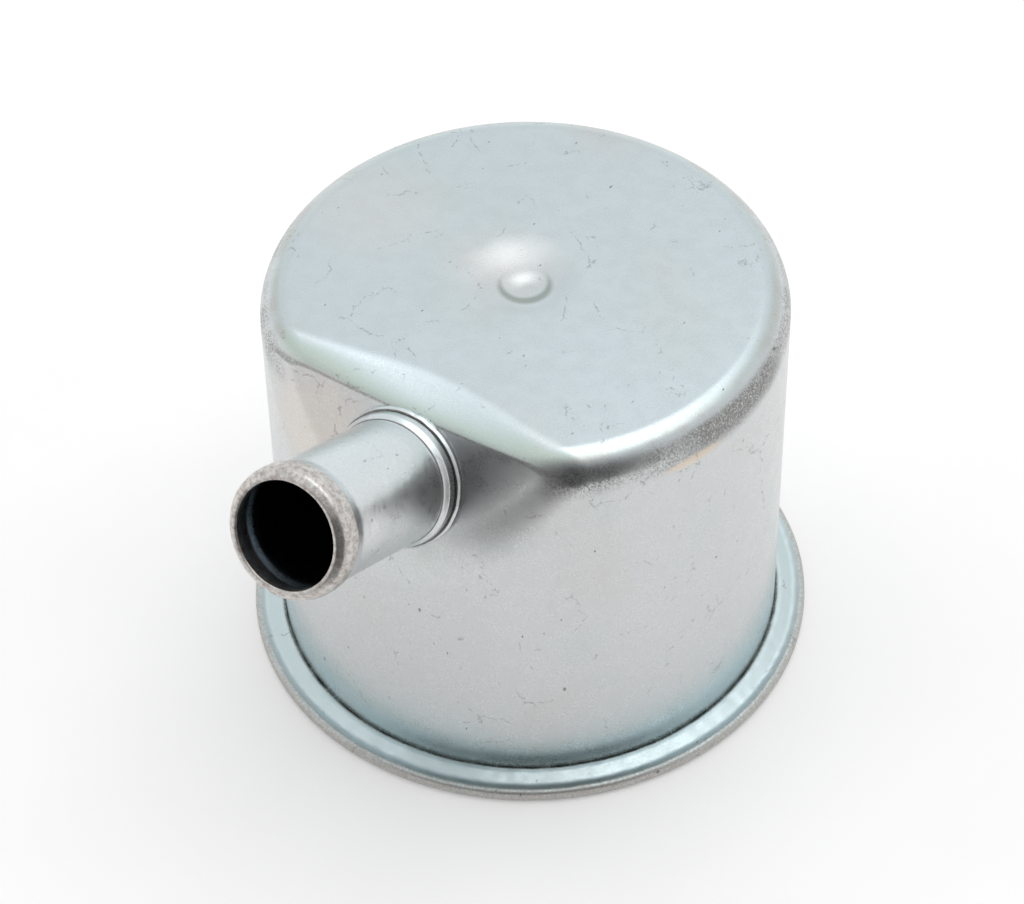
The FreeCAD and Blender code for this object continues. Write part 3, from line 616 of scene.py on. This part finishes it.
def scratches(nodes, size, width, share, seed):
    """Wandering hairlines: the borders of large warped cells, most of them hidden, as a mask."""
    warp = nodes.add("ShaderNodeTexNoise")
    warp.inputs["Scale"].default_value = 0.22
    warp.inputs["Detail"].default_value = 5.0
    warp.inputs["Roughness"].default_value = 0.62
    start = nodes.stretched((1, 1, 1), (seed, 0.7 * seed, 1.9 * seed))
    nodes.link(start, warp.inputs["Vector"])
    shift = nodes.add("ShaderNodeVectorMath", operation="MULTIPLY_ADD")
    nodes.link(warp.outputs["Color"], shift.inputs[0])
    shift.inputs[1].default_value = (size * 0.5,) * 3
    nodes.link(start, shift.inputs[2])
    edge = nodes.cell_edges(1 / size, shift.outputs[0])
    line = nodes.span(edge, 0.0, width / size, 1.0, 0.0)
    region = nodes.noise(0.14, 3.0, 0.6, nodes.stretched((1, 1, 1), (seed, seed, 1.0)))
    gate = nodes.span(region, share, share + 0.05)
    broken = nodes.span(nodes.noise(1.3, 2.0, 0.5), 0.40, 0.55)
    return nodes.product(line, gate, broken)


def ticks(nodes, scale, size, share, seed):
    """Scattered short dark nicks, as a mask: only a share of the cells has one."""
    place = nodes.stretched((1.0, 0.45, 0.45), (seed, 0.6 * seed, 1.7 * seed))
    cells = nodes.add("ShaderNodeTexVoronoi")
    cells.inputs["Scale"].default_value = scale
    nodes.link(place, cells.inputs["Vector"])
    colour = nodes.add("ShaderNodeSeparateColor")
    nodes.link(cells.outputs["Color"], colour.inputs[0])
    chosen = nodes.span(colour.outputs[0], share, share + 0.01, 1.0, 0.0)
    mark = nodes.span(cells.outputs["Distance"], size * 0.5, size, 1.0, 0.0)
    return nodes.product(chosen, mark)


def make_zinc(name, marks_and_painted_light, cool=1.0, rough=0.3, marks=1.0, bright=1.0):
    """Bright zinc plate over drawn steel: cool grey, faint tints, a fine grain and handling marks, and a
    painted sky reflection that makes upward faces bluer.

    marks_and_painted_light(nodes, tone) adds one piece's own marks and painted light: it gives the new tone
    and a mask of what they roughen.
    """
    nodes = Nodes(name)
    blue = rgba(0.595 * bright, 0.685 * bright, 0.72 * bright)
    plain = rgba(0.655 * bright, 0.66 * bright, 0.66 * bright)
    grain = nodes.noise(3.2, 3.0, 0.7)
    warm = nodes.noise(0.045, 2.0, 0.5, nodes.stretched((1, 1, 1), (2, 1, 0)))
    green = nodes.noise(0.05, 2.0, 0.5, nodes.stretched((1, 1, 1), (0, 2, 1)))
    # Painted sky reflection: faces that look up are bluer, as far as cool says.
    tone = nodes.mix(nodes.span(nodes.rise(), 0.5, 0.95, 0.15, 0.95 * cool), plain, blue)
    tone = nodes.tint(tone, (0.62, 0.585, 0.56), nodes.span(warm, 0.52, 0.78, 0.0, 0.35))
    tone = nodes.tint(tone, (0.52, 0.61, 0.57), nodes.span(green, 0.55, 0.8, 0.0, 0.35))
    tone = nodes.tint(tone, (0.40, 0.41, 0.41), nodes.span(grain, 0.3, 0.75, 0.0, 0.20))
    tone, wear_and_painted_shade = marks_and_painted_light(nodes, tone)
    hairlines = nodes.most(scratches(nodes, 13.0, 0.19, 0.54, 1.3), scratches(nodes, 6.0, 0.14, 0.60, 2.9))
    hairlines = nodes.product(hairlines, 0.58 * marks)
    tone = nodes.tint(tone, (0.24, 0.24, 0.235), hairlines)
    nicks = nodes.most(ticks(nodes, 0.42, 0.10, 0.16, 1.0), ticks(nodes, 0.9, 0.13, 0.09, 2.3))
    tone = nodes.tint(tone, (0.13, 0.12, 0.11), nicks, 0.75 * marks)
    nodes.link(tone, nodes.shader.inputs["Base Color"])
    nodes.shader.inputs["Metallic"].default_value = 1.0
    shine = nodes.span(nodes.noise(0.35, 4.0, 0.6), 0.3, 0.7, rough * 0.92, rough * 1.12)
    shine = nodes.calc("ADD", shine, nodes.span(grain, 0.35, 0.7, -0.03, 0.05))
    shine = nodes.calc("ADD", shine, nodes.product(wear_and_painted_shade, 0.12))
    nodes.link(shine, nodes.shader.inputs["Roughness"])
    relief = nodes.bump(nodes.noise(0.28, 3.0, 0.5), 0.25, 0.05)
    relief = nodes.bump(grain, 0.35, 0.016, relief)
    relief = nodes.bump(nodes.noise(8.0, 2.0, 0.6), 0.45, 0.010, relief)
    relief = nodes.bump(nodes.most(hairlines, nicks), 0.4, -0.03, relief)
    nodes.link(relief, nodes.shader.inputs["Normal"])
    return nodes.material


def can_wear_and_painted_light(nodes, tone):
    """The can's marks and painted light, from its foot up to the middle of its top."""
    fine = nodes.noise(3.4, 4.0, 0.8)
    patchy = nodes.span(nodes.noise(0.12, 3.0, 0.6), 0.35, 0.62, 0.25, 1.0)
    # Bluer towards the foot: a painted reflection, uneven.
    foot = nodes.span(nodes.height(), 3.0, 17.0, 0.75, 0.0)
    uneven = nodes.span(nodes.noise(0.08, 3.0, 0.6), 0.35, 0.6, 0.35, 1.0)
    tone = nodes.tint(tone, (0.54, 0.655, 0.685), foot, uneven)
    tone, rubbed = corner_wear_and_painted_reflection(nodes, tone, fine, patchy)
    tone, line = ridge_painted_light(nodes, tone, fine)
    rise = nodes.rise()
    # Painted darker, warm reflection round the upper part of the top's rounded edge, in patches.
    rim_painted_reflection = nodes.product(nodes.span(nodes.radius(), 34.6, 36.0), nodes.span(rise, 0.68, 0.8),
                        nodes.span(rise, 0.93, 0.985, 1.0, 0.0))
    tone = nodes.tint(tone, (0.42, 0.375, 0.34), rim_painted_reflection, patchy, nodes.span(fine, 0.3, 0.55, 0.3, 1.0), 0.5)
    tone = nodes.tint(tone, (0.72, 0.68, 0.655), nodes.near((-27.0, 2.0, CAN_TOP), 3.0, 15.0), 0.30)
    heated = nodes.near((-14.5, -33.0, 55.5), 3.0, 12.0)
    tone = nodes.tint(tone, (0.78, 0.66, 0.56), heated, nodes.span(fine, 0.25, 0.7, 0.2, 0.5))
    # Painted dark reflection of the spigot on the facet's right.
    painted_spigot_reflection = nodes.near((14.0, -30.0, 52.5), 2.0, 9.5)
    tone = nodes.tint(tone, (0.34, 0.37, 0.365), painted_spigot_reflection, nodes.span(fine, 0.25, 0.65, 0.25, 0.6))
    # Painted highlight, light and warm, on the upper left slope of the bowl in the top.
    tone = nodes.tint(tone, (0.80, 0.74, 0.72), nodes.near((-5.0, 1.0, CAN_TOP), 2.0, 11.0), 0.28)
    # Painted dark crescent of shade round the punch's lower right edge.
    painted_punch_shade = nodes.product(
        nodes.near((0.3, -0.5, CAN_TOP - 0.8), 3.3, 4.4),
        nodes.calc("SUBTRACT", 1.0, nodes.near((-0.4, 0.4, CAN_TOP - 0.8), 2.9, 3.8)))
    tone = nodes.tint(tone, (0.27, 0.32, 0.29), painted_punch_shade, 0.75)
    return tone, nodes.most(rubbed, line)


def corner_wear_and_painted_reflection(nodes, tone, fine, patchy):
    """The rounded top corner: a painted dark reflection band, broken into rubbed patches and strongest at one
    knock, and a small golden stain.
    """
    corner = nodes.product(nodes.span(nodes.radius(), 36.0, 37.3), nodes.span(nodes.height(), 58.2, 61.2),
                           nodes.span(nodes.rise(), 0.62, 0.86, 1.0, 0.0))
    rubbed = nodes.product(corner, nodes.span(fine, 0.42, 0.60), patchy)
    knock_and_dark_reflection = nodes.product(corner, nodes.span(fine, 0.32, 0.54), nodes.near((36.2, -3.0, 61.3), 7.0, 17.0))
    rubbed = nodes.most(rubbed, knock_and_dark_reflection)
    # Painted dark reflection on the corner's lower round, in rubbed patches, darkest at one knock.
    tone = nodes.tint(tone, (0.16, 0.155, 0.145), rubbed, 0.85)
    flatter = 6.0
    stain = nodes.near((35.6, -12.8, flatter * 59.4), 3.0, 6.5, nodes.stretched((1.0, 1.0, flatter)))
    tone = nodes.tint(tone, (0.80, 0.64, 0.44), stain, nodes.span(fine, 0.3, 0.5, 0.5, 1.0), 0.5)
    return tone, rubbed


def ridge_painted_light(nodes, tone, fine):
    """The facet's upper edge: a painted green highlight tint along its round, with a broken painted dark
    reflection line under it.
    """
    rise = nodes.rise()
    inside = nodes.span(nodes.radius(), 35.0, 36.5, 1.0, 0.0)
    # Painted green tint where the ridge's highlight falls.
    ridge_highlight_tint = nodes.product(nodes.span(rise, 0.52, 0.66), nodes.span(rise, 0.86, 0.97, 1.0, 0.0), inside)
    tone = nodes.tint(tone, (0.50, 0.62, 0.54), ridge_highlight_tint, 0.55)
    # Painted dark reflection line under the ridge's highlight, broken up.
    line = nodes.product(nodes.span(rise, 0.425, 0.47), nodes.span(rise, 0.52, 0.62, 1.0, 0.0),
                         nodes.span(nodes.along_spigot(), -1.3, -0.4), nodes.span(nodes.height(), 52.0, 60.0),
                         nodes.span(fine, 0.36, 0.56, 0.3, 1.0))
    return nodes.tint(tone, (0.17, 0.18, 0.165), line, 0.6), line


def groove(nodes, place, reach):
    """Mask for a thin line round the tube at a place along it."""
    away = nodes.calc("ABSOLUTE", nodes.calc("SUBTRACT", nodes.along_spigot(), place), 0.0)
    return nodes.span(away, reach * 0.4, reach, 1.0, 0.0)


def tube_wear_and_painted_shade(nodes, tone):
    """The tube's marks and painted shade: a rubbed warm bead at the mouth, painted shade in two creases, and
    painted shade inside, bluish towards the mouth.
    """
    level = nodes.along_spigot()
    fine = nodes.noise(2.6, 4.0, 0.75)
    patches = nodes.span(nodes.noise(1.1, 4.0, 0.7), 0.35, 0.65)
    brown = nodes.mix(patches, rgba(0.36, 0.30, 0.27), rgba(0.66, 0.62, 0.58))
    rubbed = nodes.product(nodes.span(level, MOUTH - 4.6, MOUTH - 3.0), nodes.span(fine, 0.3, 0.6, 0.35, 0.9))
    tone = nodes.mix(rubbed, tone, brown)
    # Painted shade in the creases at the washer's top and at the swage's shoulder.
    painted_crease_shade = nodes.most(groove(nodes, RING_SHEET + 0.02, 0.16), groove(nodes, RING_SHEET + 2.2, 0.2))
    tone = nodes.tint(tone, (0.13, 0.13, 0.12), painted_crease_shade, nodes.span(fine, 0.2, 0.5, 0.5, 0.9))
    from_axis = nodes.vector("CROSS_PRODUCT", nodes.vector("SUBTRACT", nodes.place, BEAD_POINT), OUTWARD)
    reach = nodes.vector("LENGTH", from_axis, None, "Value")
    # Painted shade inside the bore: dark deep down, lighter and bluish towards the mouth.
    bore = nodes.product(nodes.span(reach, SPIGOT_RADIUS - 0.42, SPIGOT_RADIUS - 0.3, 1.0, 0.0),
                         nodes.span(level, MOUTH - 1.1, MOUTH - 0.8, 1.0, 0.0))
    mouthward = nodes.span(level, MOUTH - 6.5, MOUTH - 4.0)
    painted_bore_shade = nodes.mix(mouthward, rgba(0.10, 0.12, 0.14), rgba(0.45, 0.55, 0.62))
    return nodes.mix(bore, tone, painted_bore_shade), rubbed


def base_wear_and_painted_light(nodes, tone):
    """The plate's marks and painted light: a painted teal reflection in the hem's trough, brown grime on its
    edge, and painted brown shade in its crevice.
    """
    radius = nodes.radius()
    rise = nodes.rise()
    fine = nodes.noise(2.8, 4.0, 0.75)
    # Painted pale teal reflection on the hem's upward faces.
    painted_trough_reflection = nodes.product(nodes.span(radius, CAN_RADIUS, CAN_RADIUS + 0.8), nodes.span(rise, 0.5, 0.9))
    tone = nodes.tint(tone, (0.57, 0.70, 0.72), painted_trough_reflection, 0.6)
    not_under = nodes.span(rise, -0.9, -0.5)
    edge = nodes.product(nodes.span(rise, 0.25, 0.6, 1.0, 0.0), not_under)
    lip = nodes.product(nodes.span(radius, RIM_RADIUS - 1.25, RIM_RADIUS - 0.7), not_under)
    side = nodes.product(nodes.most(edge, lip), nodes.span(fine, 0.35, 0.6, 0.3, 0.95))
    tone = nodes.tint(tone, (0.40, 0.365, 0.325), side, 0.7)
    # Painted brown shade in the crevice between the hem and the can.
    crevice_painted_shade = nodes.product(nodes.span(radius, CAN_RADIUS + 0.25, CAN_RADIUS + 0.75, 1.0, 0.0),
                            nodes.span(radius, CAN_RADIUS - 0.5, CAN_RADIUS), nodes.span(fine, 0.3, 0.55))
    tone = nodes.tint(tone, (0.13, 0.12, 0.08), crevice_painted_shade, 0.7)
    return tone, nodes.most(side, crevice_painted_shade)


def make_steel(name, colour, rough, grain=4.0):
    """Oiled cold-rolled steel: darker than the plating, with a rolled grain along X and faint stains."""
    nodes = Nodes(name)
    lines = nodes.noise(grain, 4.0, 0.6, nodes.stretched((0.12, 1.0, 1.0)))
    tone = nodes.tint(rgba(*colour), [part * 0.6 for part in colour], nodes.span(lines, 0.3, 0.7, 0.0, 0.45))
    stain = nodes.span(nodes.noise(0.12, 4.0, 0.6), 0.45, 0.7, 0.0, 0.5)
    tone = nodes.tint(tone, (colour[0] * 0.75, colour[1] * 0.68, colour[2] * 0.58), stain)
    tone = nodes.tint(tone, (0.08, 0.07, 0.06), ticks(nodes, 0.7, 0.11, 0.2, 0.8), 0.6)
    nodes.link(tone, nodes.shader.inputs["Base Color"])
    nodes.shader.inputs["Metallic"].default_value = 1.0
    nodes.link(nodes.span(lines, 0.3, 0.7, rough * 0.85, rough * 1.25), nodes.shader.inputs["Roughness"])
    relief = nodes.bump(lines, 0.25, 0.015)
    relief = nodes.bump(nodes.noise(0.5, 3.0, 0.5), 0.2, 0.05, relief)
    nodes.link(relief, nodes.shader.inputs["Normal"])
    return nodes.material


def make_rubber(name):
    """Moulded nitrile: near black, matt, with a faint bloom and a fine mould texture."""
    nodes = Nodes(name)
    bloom = nodes.span(nodes.noise(0.3, 4.0, 0.6), 0.45, 0.75, 0.0, 0.4)
    tone = nodes.mix(bloom, rgba(0.018, 0.018, 0.020), rgba(0.055, 0.055, 0.058))
    nodes.link(tone, nodes.shader.inputs["Base Color"])
    nodes.link(nodes.span(bloom, 0, 0.4, 0.55, 0.75), nodes.shader.inputs["Roughness"])
    relief = nodes.bump(nodes.noise(5.0, 3.0, 0.6), 0.35, 0.03)
    nodes.link(relief, nodes.shader.inputs["Normal"])
    return nodes.material


def make_knitted_wire(name):
    """Pad of crimped wire: bright interlocked strands over painted shade in the gaps, oily in patches."""
    nodes = Nodes(name)
    strands = nodes.cell_edges(1.1, nodes.stretched((1.0, 1.0, 0.7), (0.2, 0.1, 0.4)))
    fine = nodes.cell_edges(1.7, nodes.stretched((1.0, 1.0, 0.8), (1.2, 0.7, 0.1)))
    wire = nodes.most(nodes.span(strands, 0.03, 0.10, 1.0, 0.0), nodes.span(fine, 0.03, 0.09, 0.85, 0.0))
    oil = nodes.span(nodes.noise(0.1, 3.0, 0.5), 0.45, 0.7, 0.0, 0.6)
    bright = nodes.mix(oil, rgba(0.55, 0.55, 0.53), rgba(0.33, 0.27, 0.17))
    # Between the strands: painted shade, since the pad is a solid disc.
    nodes.link(nodes.mix(wire, rgba(0.03, 0.028, 0.025), bright), nodes.shader.inputs["Base Color"])
    nodes.link(wire, nodes.shader.inputs["Metallic"])
    nodes.link(nodes.span(wire, 0, 1, 0.8, 0.35), nodes.shader.inputs["Roughness"])
    nodes.link(nodes.bump(wire, 0.9, 0.25), nodes.shader.inputs["Normal"])
    return nodes.material


def make_floor(name):
    """Pale matt floor, clear when seen from below so that the underside can be looked at."""
    nodes = Nodes(name)
    clouds = nodes.span(nodes.noise(0.02, 3.0, 0.5), 0.3, 0.7)
    tone = nodes.mix(clouds, rgba(0.80, 0.80, 0.80), rgba(0.82, 0.82, 0.82))
    nodes.link(tone, nodes.shader.inputs["Base Color"])
    nodes.shader.inputs["Roughness"].default_value = 0.9
    nodes.shader.inputs["Specular IOR Level"].default_value = 0.1
    nodes.link(tone, nodes.shader.inputs["Emission Color"])
    nodes.shader.inputs["Emission Strength"].default_value = 0.28
    geometry = nodes.add("ShaderNodeNewGeometry")
    clear = nodes.add("ShaderNodeBsdfTransparent")
    either = nodes.add("ShaderNodeMixShader")
    nodes.link(geometry.outputs["Backfacing"], either.inputs[0])
    nodes.link(nodes.shader.outputs[0], either.inputs[1])
    nodes.link(clear.outputs[0], either.inputs[2])
    nodes.link(either.outputs[0], nodes.tree.nodes["Material Output"].inputs["Surface"])
    return nodes.material


def dress(piece, material):
    piece.data.materials.clear()
    piece.data.materials.append(material)


# ---------------------------------------------------------------- pieces

zinc_can = make_zinc("zinc_can", can_wear_and_painted_light, cool=1.0, rough=0.29)
# The tube and washer zinc is painted 1.14 times brighter than the can's: painted light for the lit barrel.
zinc_tube = make_zinc("zinc_tube", tube_wear_and_painted_shade, cool=0.7, rough=0.30, marks=0.6, bright=1.14)
zinc_base = make_zinc("zinc_base", base_wear_and_painted_light, cool=0.8, rough=0.40)
plain_steel = make_steel("plain_steel", (0.50, 0.51, 0.52), 0.32)
rivet_steel = make_steel("rivet_steel", (0.60, 0.61, 0.62), 0.28)
spring_steel = make_steel("spring_steel", (0.30, 0.32, 0.37), 0.30)
spring_wire = make_steel("spring_wire", (0.33, 0.34, 0.36), 0.25, 8.0)
nitrile = make_rubber("nitrile")
knitted_wire = make_knitted_wire("knitted_wire")

lock_coil = build_coil("lock_coil", "lock_spring", wire=0.9, bottom=4.9, top=4.9, turns=3.5)
pack_coil = build_coil("pack_coil", "pack_spring", wire=1.2, bottom=12.2, top=7.2, turns=5.5)
lower_pad = build_filter_pack("lower_pad", "lower_filter_pack", 8)
upper_pad = build_filter_pack("upper_pad", "upper_filter_pack", 11)
made = [
    (build_can(), "can", zinc_can, "zinc_can"),
    (build_spigot(), "hose_spigot", zinc_tube, "zinc_tube"),
    (build_spigot_ring(), "spigot_ring", zinc_tube, "zinc_ring"),
    (build_base_plate(), "base_plate", zinc_base, "zinc_base"),
    (build_neck_collar(), "neck_collar", zinc_base, "zinc_base"),
    (build_gasket(), "neck_gasket", nitrile, "nitrile"),
    (lock_coil, "lock_spring", spring_wire, "spring_wire"),
    (pack_coil, "pack_spring", spring_wire, "spring_wire"),
    (lower_pad, "lower_filter_pack", knitted_wire, "knitted_wire"),
    (upper_pad, "upper_filter_pack", knitted_wire, "knitted_wire"),
]
for piece, node, material, slot in made:
    dress(piece, material)
    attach(piece, "housing")
    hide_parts(node)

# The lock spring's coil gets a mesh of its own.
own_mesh(lock_coil)

# The other pieces show their CAD shapes.
kept = [
    (plain_steel, ["lock_bridge", "lock_washer", "splash_baffle", "spacer_ring"]),
    (plain_steel, ["lower_screen", "middle_screen", "upper_screen"]),
    (rivet_steel, ["bridge_rivets", "baffle_rivets", "lock_stud"]),
    (spring_steel, ["locking_plate", "stud_clip"]),
]
for material, node_names in kept:
    for node in node_names:
        dress(frame["nodes"][node], material)

# ---------------------------------------------------------------- studio

CAMERA_AZIMUTH = math.radians(33.0)
CAMERA_ELEVATION = math.radians(45.24)
CAMERA_DISTANCE = 502.7
CAMERA_TARGET = Vector((0, 0, 32.6))
CAMERA_PAN = math.radians(0.269)
CAMERA_TILT = math.radians(-0.17)
CAMERA_ROLL = math.radians(0.94)
CAMERA_LENS = 118.33
FRONT = Vector((math.sin(CAMERA_AZIMUTH), -math.cos(CAMERA_AZIMUTH), 0))
FLOOR_SIZE = 640.0
FLOOR_SHIFT = 170.0
SKY_STOPS = [(0.0, 1.10), (0.10, 1.05), (0.30, 0.95), (0.66, 0.86), (0.80, 0.95), (1.0, 1.10)]


def make_floor_plane():
    """A square of floor, turned to the camera and set back from it."""
    bpy.ops.mesh.primitive_grid_add(x_subdivisions=4, y_subdivisions=4, size=FLOOR_SIZE * MM)
    floor = bpy.context.active_object
    floor.name = "floor"
    floor.location = -FRONT * FLOOR_SHIFT * MM
    floor.rotation_euler = (0, 0, CAMERA_AZIMUTH)
    dress(floor, make_floor("pale_floor"))


def make_camera():
    """Looks at the target from the front, then pans, tilts and rolls a little."""
    back = FRONT * math.cos(CAMERA_ELEVATION) + Vector((0, 0, math.sin(CAMERA_ELEVATION)))
    ahead = -back
    right = ahead.cross(Vector((0, 0, 1))).normalized()
    up = right.cross(ahead)
    pan = Matrix.Rotation(CAMERA_PAN, 3, up)
    ahead, right = pan @ ahead, pan @ right
    tilt = Matrix.Rotation(CAMERA_TILT, 3, right)
    ahead, up = tilt @ ahead, tilt @ up
    roll = Matrix.Rotation(CAMERA_ROLL, 3, ahead)
    right, up = roll @ right, roll @ up
    data = bpy.data.cameras.new("camera")
    data.sensor_width = 36.0
    data.lens = CAMERA_LENS
    data.clip_start = 0.01
    data.clip_end = 20.0
    camera = bpy.data.objects.new("camera", data)
    place = Matrix.Translation((CAMERA_TARGET + back * CAMERA_DISTANCE) * MM)
    camera.matrix_world = place @ Matrix((right, up, -ahead)).transposed().to_4x4()
    bpy.context.scene.collection.objects.link(camera)
    bpy.context.scene.camera = camera


def add_softbox(name, place, size, watts, target=(0, 0, 0.03)):
    data = bpy.data.lights.new(name, "AREA")
    data.shape = "RECTANGLE"
    data.size, data.size_y = size
    data.energy = watts
    light = bpy.data.objects.new(name, data)
    light.location = place
    light.rotation_euler = (Vector(target) - Vector(place)).to_track_quat("-Z", "Y").to_euler()
    bpy.context.scene.collection.objects.link(light)


def make_sky():
    """Soft surrounding light: it changes with height, and is dim low down on the camera's side."""
    world = bpy.data.worlds.new("studio")
    bpy.context.scene.world = world
    world.use_nodes = True
    tree = world.node_tree
    way = tree.nodes.new("ShaderNodeTexCoord")
    parts = tree.nodes.new("ShaderNodeSeparateXYZ")
    tree.links.new(way.outputs["Generated"], parts.inputs[0])
    ramp = tree.nodes.new("ShaderNodeValToRGB")
    ends = ramp.color_ramp.elements
    for stop, (position, value) in ((ends[0], SKY_STOPS[0]), (ends[1], SKY_STOPS[-1])):
        stop.position = position
        stop.color = rgba(value, value, value)
    for position, value in SKY_STOPS[1:-1]:
        ramp.color_ramp.elements.new(position).color = rgba(value, value, value)
    tree.links.new(parts.outputs["Z"], ramp.inputs[0])
    front = tree.nodes.new("ShaderNodeVectorMath")
    front.operation = "DOT_PRODUCT"
    front.inputs[1].default_value = FRONT + Vector((0, 0, 0.12))
    tree.links.new(way.outputs["Generated"], front.inputs[0])
    shade = tree.nodes.new("ShaderNodeMapRange")
    shade.interpolation_type = "SMOOTHSTEP"
    shade.inputs["From Min"].default_value = 0.38
    shade.inputs["From Max"].default_value = 0.88
    shade.inputs["To Min"].default_value = 1.0
    shade.inputs["To Max"].default_value = 0.10
    tree.links.new(front.outputs["Value"], shade.inputs["Value"])
    both = tree.nodes.new("ShaderNodeVectorMath")
    both.operation = "MULTIPLY"
    tree.links.new(ramp.outputs["Color"], both.inputs[0])
    tree.links.new(shade.outputs["Result"], both.inputs[1])
    seen = tree.nodes.new("ShaderNodeLightPath")
    pick = tree.nodes.new("ShaderNodeMix")
    pick.data_type = "RGBA"
    tree.links.new(seen.outputs["Is Camera Ray"], pick.inputs["Factor"])
    tree.links.new(both.outputs[0], pick.inputs[6])
    pick.inputs[7].default_value = rgba(1.0, 1.0, 1.0)
    background = tree.nodes["Background"]
    tree.links.new(pick.outputs[2], background.inputs["Color"])
    background.inputs["Strength"].default_value = 1.0


make_floor_plane()
make_camera()
make_sky()
add_softbox("overhead", (0.10, 0.25, 1.10), (1.0, 0.8), 2.6)
bpy.context.scene.view_settings.view_transform = "Standard"
